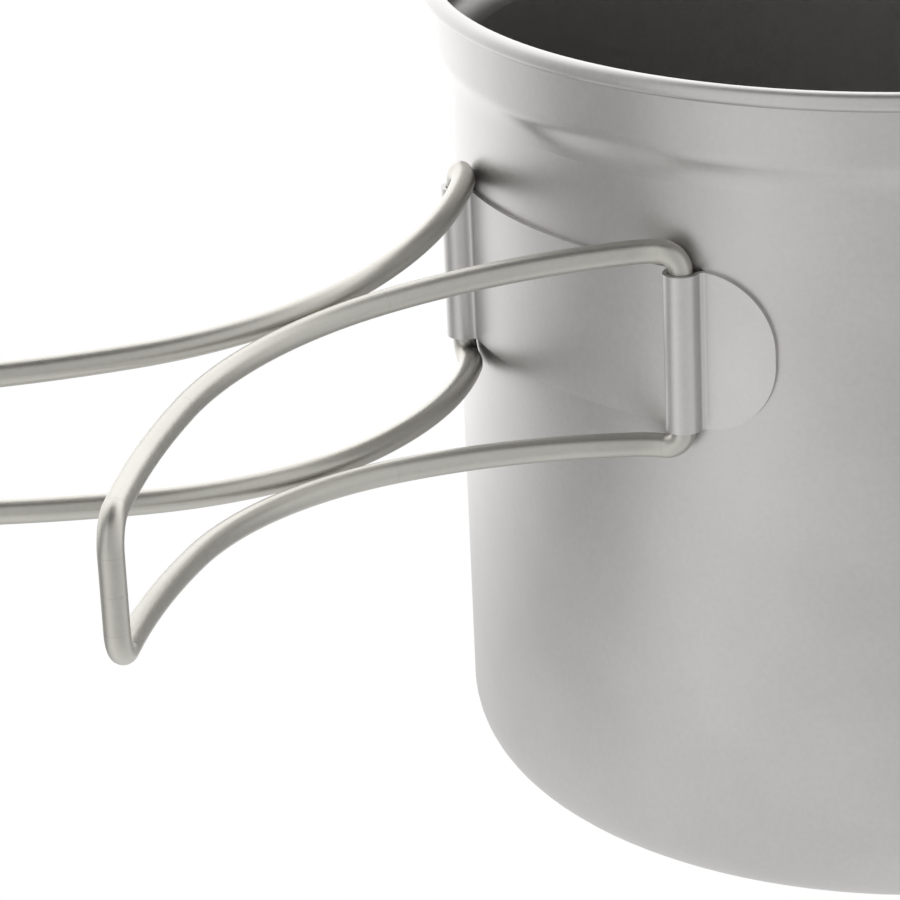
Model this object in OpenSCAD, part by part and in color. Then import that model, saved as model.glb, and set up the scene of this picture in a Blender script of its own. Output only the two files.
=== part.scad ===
// One pot of a camping cook set: a drawn titanium cup with two folding wire handles.
// The origin is the middle of the base's underside, +Z is up, and the handles point along -X.
// Angles about the pot's axis are counted from -X, positive towards -Y, the right handle's side.

/* [Pot] */
// Outer diameter of the straight wall
pot_d = 116; // [100:1:140]
// Height from the ground to the top of the rim
pot_h = 106.5; // [100:0.5:130]
// Thickness of the drawn sheet
wall_t = 0.5; // [0.4:0.1:0.8]
// Outer radius of the corner between the base and the wall
base_corner_r = 9; // [6:0.5:14]

/* [Rim] */
// How far the collar under the rim stands out from the wall
collar_step = 1.6; // [1.5:0.1:3]
// Height of the shoulder that widens the wall to the collar
shoulder_h = 5.2; // [5:0.1:8]
// Outer radius of the hollow bend at the bottom of the shoulder
shoulder_low_r = 5.5; // [2:0.5:8]
// Straight height of the collar, from the shoulder to the middle of the curl
collar_h = 7.1; // [4:0.1:8]
// Outer diameter of the rolled curl on the rim
curl_d = 2.3; // [2:0.1:3.5]
// Angle that the curl leaves open between the sheet's edge and the collar
curl_open = 70; // [65:5:90]

/* [Hinge strap] */
// Height of the strap's middle above the ground
hinge_z = 73; // [65:1:78]
// Angle about the pot's axis between the two handles' pins
pin_spread = 42.4; // [38:0.1:60]
// Height of the strap, which is the length of its barrels too
strap_h = 19.6; // [17:0.1:22]
// Thickness of the strap's sheet
strap_t = 0.6; // [0.5:0.1:0.8]
// Clearance all round the wire in its barrel
bore_gap = 0.08; // [0.05:0.01:0.1]
// Clearance between the wire in its barrel and the wall behind it
pin_wall_gap = 0.1; // [0.1:0.05:0.3]
// Outer radius of the bend at each foot of a barrel
foot_r = 0.6; // [0.4:0.1:1]
// Distance from a pin to the end of its tab
tab_reach = 11.3; // [11:0.1:14]
// Corner radius of the tabs
tab_corner_r = 9; // [6:0.5:9]

/* [Handles] */
// Diameter of the wire
wire_d = 2.9; // [2.5:0.1:3.2]
// Gap between the two ends of a wire inside its barrel
pin_end_gap = 1; // [0.5:0.1:4]
// Play between a barrel's ends and the wire's bends
pin_play = 0.1; // [0.05:0.05:0.5]
// Centre line radius of the bend from the pin into the loop
pin_bend_r = 2.3; // [2.2:0.1:4]
// Angle at which each side of the loop leans towards the other
loop_lean = 3; // [1:0.1:3.5]
// Centre line radius of the loop's two corners at its far end
tip_r = 3.6; // [2.5:0.1:4]
// Angle between the open right handle's wire, where it leaves its pin, and the wall
right_open = 13; // [6:0.5:20]
// Angle between the open left handle's wire, where it leaves its pin, and the wall
left_open = 2.5; // [0:0.5:20]
// Angle at which the right handle's loop hangs below level
right_droop = 1.3; // [0:0.1:4]
// Angle at which the left handle's loop hangs below level
left_droop = 0; // [0:0.1:4]

/* [Welds] */
// Diameter of each spot weld
weld_d = 2.5; // [1.5:0.1:3]
// How far each spot weld reaches into either sheet
weld_depth = 0.3; // [0.1:0.05:0.35]

/* [Hidden] */
$fn = 96;

// Metal colours
SHEET = [0.68, 0.67, 0.65];
STRAP = [0.72, 0.71, 0.69];
WIRE = [0.60, 0.59, 0.55];

// The loop's plan, from its pin to its far end: radius and turn of each bend in mm and degrees.
// Folded, these bends follow the round wall.
PLAN_BENDS = [[9, 20.7], [67.4, 25.7], [44.7, 43], [120, 12]];
PLAN_TURN = sum_of([for (b = PLAN_BENDS) b[1]], len(PLAN_BENDS));

pot_r = pot_d / 2;
collar_r = pot_r + collar_step;
curl_r = curl_d / 2;
curl_z = pot_h - curl_r;
curl_axis_r = collar_r - wall_t + curl_r;
shoulder_top_z = curl_z - collar_h;
shoulder_low_z = shoulder_top_z - shoulder_h;
// Two bends of the same turn, one hollow and one full, make the shoulder
shoulder_turn = 2 * atan(collar_step / shoulder_h);
shoulder_top_r = shoulder_h / sin(shoulder_turn) - shoulder_low_r;

strap_r = pot_r + strap_t;
pin_r = wire_d / 2;
pin_axis_r = pot_r + pin_wall_gap + pin_r;
pin_angle = pin_spread / 2;
bore_r = pin_r + bore_gap;
barrel_r = bore_r + strap_t;
// Centre of the bend at a barrel's foot, which touches the barrel's side and the strap's face
foot_y = barrel_r + foot_r;
foot_x = sqrt(pow(strap_r + foot_r, 2) - pow(foot_y, 2));
foot_angle = asin(foot_y / (strap_r + foot_r));
tab_angle = pin_angle + asin((tab_reach - tab_corner_r) / strap_r);
tab_end_angle = pin_angle + asin(tab_reach / strap_r);

// Each side of the loop lies in a plane that leans most half way through the plan's turn
start_heading = -PLAN_TURN / 2;
end_heading = PLAN_TURN / 2;
// What the plan's bends span together, and where a level side of the loop ends
plan_span = sum_of([for (i = [0 : len(PLAN_BENDS) - 1]) PLAN_BENDS[i][0] * step_of(i)],
    len(PLAN_BENDS));
loop_end = plan_span + corners_at(0);
pin_top = strap_h / 2 + pin_play;

// Neighbouring stretches of a wire stop this far from each other, and a core inside joins them
hairline = 0.02;
core_l = 0.4;

// Two welds near each pin on both sides of it, and two in the strap's middle
WELD_ANGLES = [for (side = [-1, 1], a = [pin_angle - 8, pin_angle + 6.5]) side * a];
weld_rise = 4;

// Sum of the first n values of a list
function sum_of(values, n) = n == 0 ? 0 * values[0] : values[n - 1] + sum_of(values, n - 1);
function facing(a) = [cos(a), sin(a)];
function turned(v, a) = v.x * facing(a) + v.y * facing(a + 90);

// Heading of the loop before bend i, from the direction in which its plane leans
function heading(i) = start_heading + sum_of([for (b = PLAN_BENDS) b[1]], i);
// How far bend i would take the loop, ahead and sideways, if its radius were 1
function step_of(i) = [
    sin(heading(i + 1)) - sin(heading(i)),
    cos(heading(i)) - cos(heading(i + 1))
];
// Downward slope of a side of the loop at a heading in its leaning plane
function slope_at(h, lean) = asin(sin(lean) * cos(h));
// Roll about the wire that turns an upright plane into the leaning plane at a heading
function roll_at(h, lean) = 90 + asin(sin(lean) * sin(h) / cos(slope_at(h, lean)));
// Heading seen from above of a wire that has a heading in its leaning plane
function plan_heading(h, lean) = atan2(sin(h), cos(h) * cos(lean));
// What the bend at the pin and the far corner span together, seen from above
function corners_at(lean) =
    pin_bend_r * (1 + sin(slope_at(start_heading, lean)))
        * facing(plan_heading(start_heading, lean))
    + tip_r * (1 - sin(slope_at(end_heading, lean)))
        * facing(plan_heading(end_heading, lean));
// What a leaning side's bends must span beyond a level side's to end at the same place
function span_gap(lean) =
    let (end = turned(loop_end, plan_heading(start_heading, lean) - start_heading)
        - corners_at(lean))
    [end.x / cos(lean), end.y] - plan_span;
// Radius of bend i on a leaning side: bends 1 and 2 make up for the gap between them
function bend_r(i, lean) =
    let (a = step_of(1), b = step_of(2), gap = span_gap(lean))
    PLAN_BENDS[i][0] + (i == 1 ? cross(gap, b) : i == 2 ? cross(a, gap) : 0) / cross(a, b);
// Height above the hinge's middle at which the far corner of a leaning side ends
function corner_height(lean) = pin_top
    + pin_bend_r * cos(slope_at(start_heading, lean))
    - (plan_span + span_gap(lean)).x * sin(lean)
    - tip_r * cos(slope_at(end_heading, lean));

// A part of a flat ring between two angles less than 180 degrees apart
module ring_part(inner_r, outer_r, from, to) {
    reach = 2 * outer_r;
    middle = (from + to) / 2;
    intersection() {
        difference() {
            circle(r = outer_r);
            circle(r = inner_r);
        }
        polygon([[0, 0], for (a = [from, middle, to]) reach * [cos(a), sin(a)]]);
    }
}

// Half of the pot's section, with X as the radius
module pot_section() {
    base_r = pot_r - base_corner_r;
    square([base_r, wall_t]);
    translate([base_r, base_corner_r])
        ring_part(base_corner_r - wall_t, base_corner_r, -90, 0);
    translate([pot_r - wall_t, base_corner_r])
        square([wall_t, shoulder_low_z - base_corner_r]);
    translate([pot_r + shoulder_low_r, shoulder_low_z])
        ring_part(shoulder_low_r, shoulder_low_r + wall_t, 180 - shoulder_turn, 180);
    translate([collar_r - shoulder_top_r, shoulder_top_z])
        ring_part(shoulder_top_r - wall_t, shoulder_top_r, -shoulder_turn, 0);
    translate([collar_r - wall_t, shoulder_top_z])
        square([wall_t, collar_h]);
    translate([curl_axis_r, curl_z]) {
        ring_part(curl_r - wall_t, curl_r, 60, 180);
        ring_part(curl_r - wall_t, curl_r, curl_open - 180, 60);
    }
}

// Draws its children once at each pin, with the pot's axis as origin and +X through the pin
module at_pins() {
    for (side = [-1, 1])
        rotate([0, 0, 180 + side * pin_angle])
            children();
}

// A barrel's leg down to the wall, with the corner of sheet on either side of its foot.
// Each corner is hollowed by a bend of radius r.
module leg(half_w, face_r, r) {
    half = [
        [pin_axis_r, half_w],
        [foot_x, half_w],
        [foot_x, foot_y],
        face_r * [cos(foot_angle), sin(foot_angle)],
        [pot_r - strap_t, foot_y]
    ];
    difference() {
        polygon([
            for (p = half) p,
            for (i = [len(half) - 1 : -1 : 0]) [half[i].x, -half[i].y]
        ]);
        for (side = [-1, 1])
            translate([foot_x, side * foot_y])
                circle(r = r);
    }
}

// The strap's plan: a band on the wall, pressed out into a barrel at each pin
module strap_plan() {
    difference() {
        union() {
            rotate([0, 0, 180])
                ring_part(pot_r, strap_r, -tab_end_angle - 1, tab_end_angle + 1);
            at_pins() {
                translate([pin_axis_r, 0])
                    circle(r = barrel_r);
                leg(barrel_r, strap_r, foot_r);
            }
        }
        circle(r = pot_r);
        at_pins() {
            translate([pin_axis_r, 0])
                circle(r = bore_r);
            leg(bore_r, pot_r, foot_r + strap_t);
        }
    }
}

// Everything within the strap's outline: full height between the tabs, and a rounded end on each
module strap_outline() {
    depth = pot_r + 2 * barrel_r + strap_t;
    linear_extrude(height = strap_h, center = true)
        polygon([
            [0, 0],
            for (side = [-1, 0, 1])
                2 * depth * [-cos(side * tab_angle), sin(side * tab_angle)]
        ]);
    for (side = [-1, 1])
        rotate([0, 0, 180 + side * tab_angle]) {
            for (end = [-1, 1])
                translate([0, 0, end * (strap_h / 2 - tab_corner_r)])
                    rotate([0, 90, 0])
                        cylinder(r = tab_corner_r, h = depth);
            translate([0, -tab_corner_r, -(strap_h / 2 - tab_corner_r)])
                cube([depth, 2 * tab_corner_r, strap_h - 2 * tab_corner_r]);
        }
}

// The core that joins two stretches of wire across the hairline between them, along +X
module wire_core() {
    rotate([0, 90, 0])
        cylinder(d = wire_d - 2 * hairline, h = core_l, center = true);
}

// A straight length of wire along +X, with what follows at its end
module wire_run(length) {
    wire_core();
    translate([hairline / 2, 0, 0])
        rotate([0, 90, 0])
            cylinder(d = wire_d, h = length - hairline);
    translate([length, 0, 0])
        children();
}

// A bend of the wire from +X towards +Y, with what follows at its end
module wire_bend(r, turn) {
    hairline_turn = hairline / r * 180 / PI;
    wire_core();
    translate([0, r, 0])
        rotate([0, 0, hairline_turn / 2 - 90])
            rotate_extrude(angle = turn - hairline_turn)
                translate([r, 0])
                    circle(d = wire_d);
    translate([r * sin(turn), r * (1 - cos(turn)), 0])
        rotate([0, 0, turn])
            children();
}

// A turn of the plane in which the next bends lie
module wire_roll(angle) {
    rotate([angle, 0, 0])
        children();
}

// The plan's bends from number i on, with what follows at their end
module plan_bends(lean, i = 0) {
    if (i < len(PLAN_BENDS))
        wire_bend(bend_r(i, lean), PLAN_BENDS[i][1])
            plan_bends(lean, i + 1)
                children();
    else
        children();
}

// One side of the loop: its pin, its bends and half of the bar at its far end, with what follows.
// It starts on the pin's axis at the hinge's middle height and leaves the pin along +X.
module loop_side(lean, bar_half) {
    translate([0, 0, pin_end_gap / 2])
        cylinder(d = wire_d, h = pin_top - (pin_end_gap + hairline) / 2);
    translate([0, 0, pin_top])
        rotate([0, -90, 0])
            wire_roll(-90)
                wire_bend(pin_bend_r, 90 + slope_at(start_heading, lean))
                    wire_roll(roll_at(start_heading, lean))
                        plan_bends(lean)
                            wire_roll(-roll_at(end_heading, lean))
                                wire_bend(tip_r, 90 - slope_at(end_heading, lean))
                                    wire_run(bar_half)
                                        children();
}

// A whole handle on its pin's axis, open at an angle to the wall, with its loop hanging by a droop
module handle(open_angle, droop) {
    upper_lean = loop_lean + droop;
    lower_lean = loop_lean - droop;
    bar_half = (corner_height(upper_lean) + corner_height(lower_lean)) / 2;
    rotate([0, 0, 180 + pin_angle])
        translate([pin_axis_r, 0, hinge_z])
            rotate([0, 0, open_angle - 90]) {
                loop_side(upper_lean, bar_half)
                    wire_core();
                mirror([0, 0, 1])
                    loop_side(lower_lean, bar_half);
            }
}

module pot_shell() {
    color(SHEET)
        rotate_extrude()
            pot_section();
}

module hinge_strap() {
    color(STRAP)
        translate([0, 0, hinge_z])
            intersection() {
                linear_extrude(height = strap_h, center = true)
                    strap_plan();
                strap_outline();
            }
}

module spot_welds() {
    color(STRAP)
        for (a = WELD_ANGLES, rise = [-weld_rise, weld_rise])
            rotate([0, 0, 180 + a])
                translate([pot_r - weld_depth, 0, hinge_z + rise])
                    rotate([0, 90, 0])
                        cylinder(d = weld_d, h = 2 * weld_depth);
}

module right_handle() {
    color(WIRE)
        handle(right_open, right_droop);
}

module left_handle() {
    color(WIRE)
        mirror([0, 1, 0])
            handle(left_open, left_droop);
}

pot_shell();
hinge_strap();
spot_welds();
right_handle();
left_handle();
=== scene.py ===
"""Looks of the camping cook pot: bead-blasted titanium on a white light table.

Lengths are in metres, in the CAD's frame: the origin is the middle of the base's underside,
+Z is up and the handles point along -X.
"""
import math

import bpy
from mathutils import Matrix, Vector

MM = 0.001

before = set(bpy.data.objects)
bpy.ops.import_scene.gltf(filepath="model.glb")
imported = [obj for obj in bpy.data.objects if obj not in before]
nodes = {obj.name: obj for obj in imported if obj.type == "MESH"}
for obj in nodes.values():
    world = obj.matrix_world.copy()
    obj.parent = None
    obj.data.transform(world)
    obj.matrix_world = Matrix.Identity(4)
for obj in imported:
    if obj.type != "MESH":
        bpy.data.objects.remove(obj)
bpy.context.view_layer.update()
scene = bpy.context.scene


# ---------------------------------------------------------------- materials

def node_adder(tree):
    """A function that adds a node to an emptied tree with its inputs set or linked."""
    tree.nodes.clear()

    def add(kind, inputs=None, **settings):
        node = tree.nodes.new(kind)
        for key, value in settings.items():
            setattr(node, key, value)
        for key, value in (inputs or {}).items():
            if isinstance(value, bpy.types.NodeSocket):
                tree.links.new(value, node.inputs[key])
            else:
                node.inputs[key].default_value = value
        return node

    return add


def new_material(name):
    """A node material and the function that adds its nodes."""
    material = bpy.data.materials.new(name)
    material.use_nodes = True
    return material, node_adder(material.node_tree)


def math_node(add, operation, a, b=0.0, c=0.0):
    """The result of a math operation on up to three values."""
    return add("ShaderNodeMath", {0: a, 1: b, 2: c}, operation=operation).outputs["Value"]


def vector_length(add, vector):
    return add("ShaderNodeVectorMath", {0: vector}, operation="LENGTH").outputs["Value"]


def mix_colors(add, factor, a, b, blend_type="MIX"):
    """Two colours blended. The node numbers its colour inputs 6 and 7 and its colour output 2."""
    mix = add("ShaderNodeMix", {"Factor": factor, 6: a, 7: b},
              data_type="RGBA", blend_type=blend_type)
    return mix.outputs[2]


def color_ramp(add, fac, stops):
    """A colour ramp through (position, grey or colour) stops."""
    ramp = add("ShaderNodeValToRGB", {"Fac": fac})
    elements = ramp.color_ramp.elements
    while len(elements) < len(stops):
        elements.new(0.5)
    for element, (position, value) in zip(elements, stops):
        element.position = position
        element.color = (*value, 1.0) if isinstance(value, tuple) else grey(value)
    return ramp.outputs["Color"]


def grey(level):
    return (level, level, level, 1.0)


def scaled(color, k):
    return tuple(c * k for c in color)


def painted_shade_inside(add, place):
    """1 on the pot's inside surfaces and 0 outside, told by the middle of the sheet's thickness;
    it marks where the pot is painted with shade.
    """
    split = add("ShaderNodeSeparateXYZ", {"Vector": place})
    height = split.outputs["Z"]
    flat = add("ShaderNodeCombineXYZ", {"X": split.outputs["X"], "Y": split.outputs["Y"]})
    radius = vector_length(add, flat.outputs["Vector"])
    flat_r = add("ShaderNodeMapRange", {
        "Value": height,
        "From Min": SHOULDER_LOW,
        "From Max": SHOULDER_TOP,
        "To Min": BASE_FLAT_R,
        "To Max": BASE_FLAT_R + COLLAR_STEP,
    }, interpolation_type="SMOOTHSTEP")
    outward = math_node(add, "SUBTRACT", radius, flat_r.outputs["Result"])
    downward = math_node(add, "SUBTRACT", BASE_CORNER_R, height)
    corner = add("ShaderNodeCombineXYZ", {
        "X": math_node(add, "MAXIMUM", outward),
        "Y": math_node(add, "MAXIMUM", downward),
    })
    reach = vector_length(add, corner.outputs["Vector"])
    return math_node(add, "LESS_THAN", reach, BASE_CORNER_R - SHEET_MIDDLE)


def blasted_titanium(name, color, roughness, grain, inner_shade=None):
    """Bare titanium blasted with fine beads: a soft metal with a fine pitted grain.

    The inside of the pot is painted darker in the given colour, if there is one: painted shade for
    the dimmer light inside the pot.
    """
    material, add = new_material(name)
    place = add("ShaderNodeTexCoord").outputs["Object"]
    pits = add("ShaderNodeTexNoise", {"Vector": place, "Scale": PIT_SCALE, "Detail": 2.0})
    clouds = add("ShaderNodeTexNoise", {"Vector": place, "Scale": CLOUD_SCALE, "Detail": 4.0})
    mottle = add("ShaderNodeTexNoise", {"Vector": place, "Scale": MOTTLE_SCALE, "Detail": 3.0})
    tone = color_ramp(add, clouds.outputs["Fac"], [
        (0.35, scaled(color, 1.0 - CLOUD_SPREAD)),
        (0.65, scaled(color, 1.0 + CLOUD_SPREAD)),
    ])
    # Painted shade: the pot's inside is tinted darker to stand in for the shade within it
    if inner_shade:
        tone = mix_colors(add, painted_shade_inside(add, place), tone, (*inner_shade, 1.0))
    speckle = color_ramp(add, mottle.outputs["Fac"], [(0.3, 0.95), (0.7, 1.0)])
    rough = add("ShaderNodeMapRange", {
        "Value": mottle.outputs["Fac"],
        "To Min": roughness - ROUGHNESS_SPREAD,
        "To Max": roughness + ROUGHNESS_SPREAD,
    })
    bump = add("ShaderNodeBump", {
        "Height": pits.outputs["Fac"],
        "Strength": grain,
        "Distance": PIT_DEPTH,
    })
    shader = add("ShaderNodeBsdfPrincipled", {
        "Base Color": mix_colors(add, 1.0, tone, speckle, "MULTIPLY"),
        "Metallic": 1.0,
        "Roughness": rough.outputs["Result"],
        "Normal": bump.outputs["Normal"],
    })
    add("ShaderNodeOutputMaterial", {"Surface": shader.outputs["BSDF"]})
    return material


# Noise scales are in turns of the pattern per metre
PIT_SCALE = 5200.0
PIT_DEPTH = 0.02 * MM
MOTTLE_SCALE = 1400.0
ROUGHNESS_SPREAD = 0.05
CLOUD_SCALE = 60.0
CLOUD_SPREAD = 0.03

# The pot's section, as the CAD has it, which also places the painted shade inside the pot;
# SHEET_MIDDLE is half of the sheet's thickness
SHEET_MIDDLE = 0.25 * MM
BASE_FLAT_R = 49 * MM
BASE_CORNER_R = 9 * MM
COLLAR_STEP = 1.6 * MM
SHOULDER_LOW = 93.05 * MM
SHOULDER_TOP = 98.25 * MM

SHEET_COLOR = (0.56, 0.55, 0.54)
# Painted shade: the darker colour of the pot's inside stands in for shade, not for a different
# metal
INNER_SHADE_COLOR = (0.45, 0.445, 0.435)
STRAP_COLOR = (0.60, 0.59, 0.58)
WIRE_COLOR = (0.52, 0.51, 0.47)

shell_material = blasted_titanium("shell_titanium_blasted", SHEET_COLOR, 0.38, 0.5,
                                  inner_shade=INNER_SHADE_COLOR)
strap_material = blasted_titanium("strap_titanium_blasted", STRAP_COLOR, 0.40, 0.4)
wire_material = blasted_titanium("wire_titanium_blasted", WIRE_COLOR, 0.36, 1.0)
weld_material = blasted_titanium("weld_titanium_blasted", SHEET_COLOR, 0.45, 0.5)

for node, material in (
    ("pot_shell", shell_material),
    ("hinge_strap", strap_material),
    ("spot_welds", weld_material),
    ("right_handle", wire_material),
    ("left_handle", wire_material),
):
    for material_slot in nodes[node].material_slots:
        material_slot.material = material


# ---------------------------------------------------------------- surroundings

# The camera's turn about +Z from the place where it would look along +Y
CAMERA_AZIMUTH = math.radians(-42.76)
# Brightness of the tent and the far table where glow_around is 1, and of the table by the pot
GLOW = 2.5
NEAR_GLOW = 0.92
NEAR_TABLE_R = 70 * MM
FAR_TABLE_R = 180 * MM
TABLE_HALF = 3.0


def glow_around(add, place):
    """Brightness of the surroundings, as a share of GLOW, by the direction in plan.

    Its stops run in turns from the camera's side round the pot's left: a softbox at the front
    left, a gap, and the bright backdrop behind the pot.
    """
    split = add("ShaderNodeSeparateXYZ", {"Vector": place})
    polar = math_node(add, "ARCTAN2", split.outputs["Y"], split.outputs["X"])
    camera_polar = CAMERA_AZIMUTH - math.pi / 2
    turns = math_node(add, "MULTIPLY_ADD", polar, -1 / math.tau, camera_polar / math.tau)
    around = math_node(add, "FRACT", turns)
    return color_ramp(add, around, [
        (0.00, 0.27),
        (0.06, 0.35),
        (0.11, 0.46),
        (0.15, 0.34),
        (0.19, 0.14),
        (0.23, 0.19),
        (0.29, 0.46),
        (0.35, 0.68),
        (0.42, 0.74),
        (0.62, 0.74),
        (0.75, 0.40),
        (0.90, 0.30),
        (1.00, 0.27),
    ])


def white_to_camera(add, kind, color):
    """A glow in a colour, in which the camera itself sees plain white."""
    glow = add(kind, {"Color": color, "Strength": GLOW})
    white = add(kind, {"Color": grey(1.0), "Strength": 1.0})
    seen = add("ShaderNodeLightPath").outputs["Is Camera Ray"]
    mix = add("ShaderNodeMixShader", {0: seen, 1: glow.outputs[0], 2: white.outputs[0]})
    return mix.outputs["Shader"]


def light_table():
    """A wide table that glows evenly close to the pot and as the tent does further out."""
    half = TABLE_HALF
    mesh = bpy.data.meshes.new("light_table")
    corners = [(-half, -half, 0), (half, -half, 0), (half, half, 0), (-half, half, 0)]
    mesh.from_pydata(corners, [], [(0, 1, 2, 3)])
    table = bpy.data.objects.new("light_table", mesh)
    scene.collection.objects.link(table)
    material, add = new_material("light_table_white")
    place = add("ShaderNodeTexCoord").outputs["Object"]
    far = add("ShaderNodeMapRange", {
        "Value": vector_length(add, place),
        "From Min": NEAR_TABLE_R,
        "From Max": FAR_TABLE_R,
    })
    near = grey(NEAR_GLOW / GLOW)
    color = mix_colors(add, far.outputs["Result"], near, glow_around(add, place))
    shader = white_to_camera(add, "ShaderNodeEmission", color)
    add("ShaderNodeOutputMaterial", {"Surface": shader})
    mesh.materials.append(material)


def light_tent():
    """Soft light from all round the pot, up to a dark ceiling."""
    world = bpy.data.worlds.new("light_tent")
    world.use_nodes = True
    add = node_adder(world.node_tree)
    direction = add("ShaderNodeTexCoord").outputs["Generated"]
    height = add("ShaderNodeSeparateXYZ", {"Vector": direction}).outputs["Z"]
    ceiling = color_ramp(add, height, [(0.0, 1.0), (0.80, 1.0), (0.92, 0.25), (1.0, 0.12)])
    color = mix_colors(add, 1.0, glow_around(add, direction), ceiling, "MULTIPLY")
    shader = white_to_camera(add, "ShaderNodeBackground", color)
    add("ShaderNodeOutputWorld", {"Surface": shader})
    return world


light_table()
scene.world = light_tent()


# ---------------------------------------------------------------- camera

# The camera stands at a distance and elevation from the point of this height on the pot's axis
PIVOT_HEIGHT = 58 * MM
CAMERA_DISTANCE = 0.53170278
CAMERA_ELEVATION = math.radians(20.526385)
# Its downward pitch, its yaw off the axis with left negative, and its roll about its view
CAMERA_PITCH = math.radians(22.342)
CAMERA_YAW = math.radians(-6.930)
CAMERA_ROLL = math.radians(-2.5921470)
# In millimetres, as the camera takes them
SENSOR_WIDTH = 36.0
FOCAL_LENGTH = 162.676

data = bpy.data.cameras.new("camera")
data.sensor_width = SENSOR_WIDTH
data.lens = FOCAL_LENGTH
data.clip_start = 0.01
camera = bpy.data.objects.new("camera", data)
scene.collection.objects.link(camera)
turn = Matrix.Rotation(CAMERA_AZIMUTH, 3, "Z")
flat = CAMERA_DISTANCE * math.cos(CAMERA_ELEVATION)
rise = CAMERA_DISTANCE * math.sin(CAMERA_ELEVATION)
spot = turn @ Vector((0, -flat, PIVOT_HEIGHT + rise))
forward = turn @ Vector((
    math.sin(CAMERA_YAW) * math.cos(CAMERA_PITCH),
    math.cos(CAMERA_YAW) * math.cos(CAMERA_PITCH),
    -math.sin(CAMERA_PITCH),
))
level = turn @ Vector((math.cos(CAMERA_YAW), -math.sin(CAMERA_YAW), 0))
above = level.cross(forward)
right = math.cos(CAMERA_ROLL) * level + math.sin(CAMERA_ROLL) * above
up = math.cos(CAMERA_ROLL) * above - math.sin(CAMERA_ROLL) * level
camera.matrix_world = Matrix((
    (right.x, up.x, -forward.x, spot.x),
    (right.y, up.y, -forward.y, spot.y),
    (right.z, up.z, -forward.z, spot.z),
    (0, 0, 0, 1),
))
scene.camera = camera
scene.view_settings.view_transform = "Standard"
